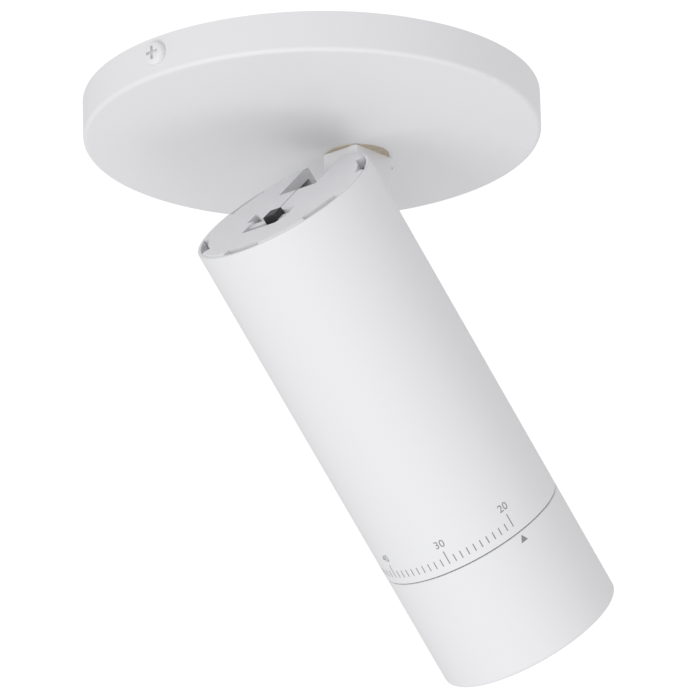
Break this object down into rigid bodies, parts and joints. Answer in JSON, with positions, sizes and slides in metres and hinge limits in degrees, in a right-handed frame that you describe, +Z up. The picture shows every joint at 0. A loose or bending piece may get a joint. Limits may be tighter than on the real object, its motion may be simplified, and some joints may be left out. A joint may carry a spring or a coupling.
{
  "type": "surface mounted ceiling spotlight",
  "caption": "Ceiling spotlight: a round canopy with an offset swivel arm and a slotted tube head that tilts, with a turning zoom ring at the front.",
  "frame": {"origin": "centre of the canopy on the ceiling plane", "axes": "+Z up into the ceiling, +X the way the head leans at rest, tilt hinge along Y"},
  "size_m": [0.1722, 0.127, 0.1546],
  "materials": {
    "canopy": "fine-texture matt white powder coat",
    "mounting_bracket": "zinc plated",
    "canopy_screws": "white painted steel",
    "ground_screw": "green dyed",
    "pan_stop_pin": "satin",
    "swivel_arm": "fine-texture matt white powder coat",
    "swivel_stem": "zinc plated",
    "swivel_washer": "tan fibre",
    "pan_stop_washer": "satin",
    "stem_wave_washer": "spring steel",
    "stem_nut": "zinc plated",
    "tilt_friction_washers": "natural nylon",
    "head_housing": "fine-texture matt white powder coat",
    "rear_cap": "matt white moulding",
    "tilt_yoke": "zinc plated",
    "yoke_screws": "zinc plated",
    "hinge_bolt": "satin",
    "hinge_spring_washer": "spring steel",
    "hinge_nut": "zinc plated",
    "switch_body": "moulded",
    "switch_board": "solder resist",
    "switch_board_screws": "zinc plated",
    "driver_tray": "moulded",
    "driver_tray_screws": "zinc plated",
    "driver_board": "solder resist",
    "driver_transformer": "taped winding",
    "driver_capacitors": "sleeved can",
    "driver_chips": "moulded",
    "driver_connector": "moulded",
    "heat_sink": "cast and machined",
    "barrel_screws": "zinc plated",
    "thermal_pad": "silicone",
    "led_board": "white resist",
    "led_phosphor": "silicone with phosphor",
    "led_holder": "moulded",
    "led_holder_screws": "zinc plated",
    "lens_barrel": "black anodised",
    "zoom_friction_ring": "nitrile",
    "barrel_snap_ring": "spring steel",
    "zoom_ring": "fine-texture matt white powder coat",
    "glass_gasket": "silicone",
    "front_glass": "clear float",
    "front_bezel": "matt black",
    "lens_carriage": "moulded",
    "guide_pins": "ground",
    "zoom_lens": "polished",
    "lens_retainer": "moulded",
    "switch_knob": "moulded"
  },
  "bodies": {
    "canopy_base": {"canopy": "canopy", "mounting_bracket": "mounting_bracket", "canopy_screws": "canopy_screws", "ground_screw": "ground_screw", "pan_stop_pin": "pan_stop_pin"},
    "arm": {"swivel_arm": "swivel_arm", "swivel_stem": "swivel_stem", "swivel_washer": "swivel_washer", "pan_stop_washer": "pan_stop_washer", "stem_wave_washer": "stem_wave_washer", "stem_nut": "stem_nut", "tilt_friction_washers": "tilt_friction_washers"},
    "head": {"head_housing": "head_housing", "rear_cap": "rear_cap", "tilt_yoke": "tilt_yoke", "yoke_screws": "yoke_screws", "hinge_bolt": "hinge_bolt", "hinge_spring_washer": "hinge_spring_washer", "hinge_nut": "hinge_nut", "switch_body": "switch_body", "switch_board": "switch_board", "switch_board_screws": "switch_board_screws", "driver_tray": "driver_tray", "driver_tray_screws": "driver_tray_screws", "driver_board": "driver_board", "driver_transformer": "driver_transformer", "driver_capacitors": "driver_capacitors", "driver_chips": "driver_chips", "driver_connector": "driver_connector", "heat_sink": "heat_sink", "barrel_screws": "barrel_screws", "thermal_pad": "thermal_pad", "led_board": "led_board", "led_phosphor": "led_phosphor", "led_holder": "led_holder", "led_holder_screws": "led_holder_screws", "lens_barrel": "lens_barrel", "zoom_friction_ring": "zoom_friction_ring", "barrel_snap_ring": "barrel_snap_ring"},
    "focus_ring": {"zoom_ring": "zoom_ring", "glass_gasket": "glass_gasket", "front_glass": "front_glass", "front_bezel": "front_bezel"},
    "lens_slide": {"lens_carriage": "lens_carriage", "guide_pins": "guide_pins", "zoom_lens": "zoom_lens", "lens_retainer": "lens_retainer"},
    "colour_switch": {"switch_knob": "switch_knob"}
  },
  "joints": [
    {"name": "arm_swivel", "type": "hinge", "parent": "canopy_base", "child": "arm", "pos_m": [0.019, 0, 0], "axis": [0, 0, 1], "range_deg": [-165, 165]},
    {"name": "head_tilt", "type": "hinge", "parent": "arm", "child": "head", "pos_m": [0.019, 0, -0.0414], "axis": [0, -1, 0], "range_deg": [-45, 45]},
    {"name": "zoom_turn", "type": "hinge", "parent": "head", "child": "focus_ring", "pos_m": [-0.01282, 0, -0.03504], "axis": [0.7071, 0, -0.7071], "range_deg": [0, 176]},
    {"name": "lens_travel", "type": "slide", "parent": "head", "child": "lens_slide", "axis": [0.7071, 0, -0.7071], "range_m": [-0.014, 0]},
    {"name": "switch_travel", "type": "slide", "parent": "head", "child": "colour_switch", "axis": [0, 1, 0], "range_m": [-0.0038, 0.0062]}
  ],
  "couplings": [
    {"joint": "lens_travel", "follows": "zoom_turn", "m_per_rad": -0.0045576}
  ]
}
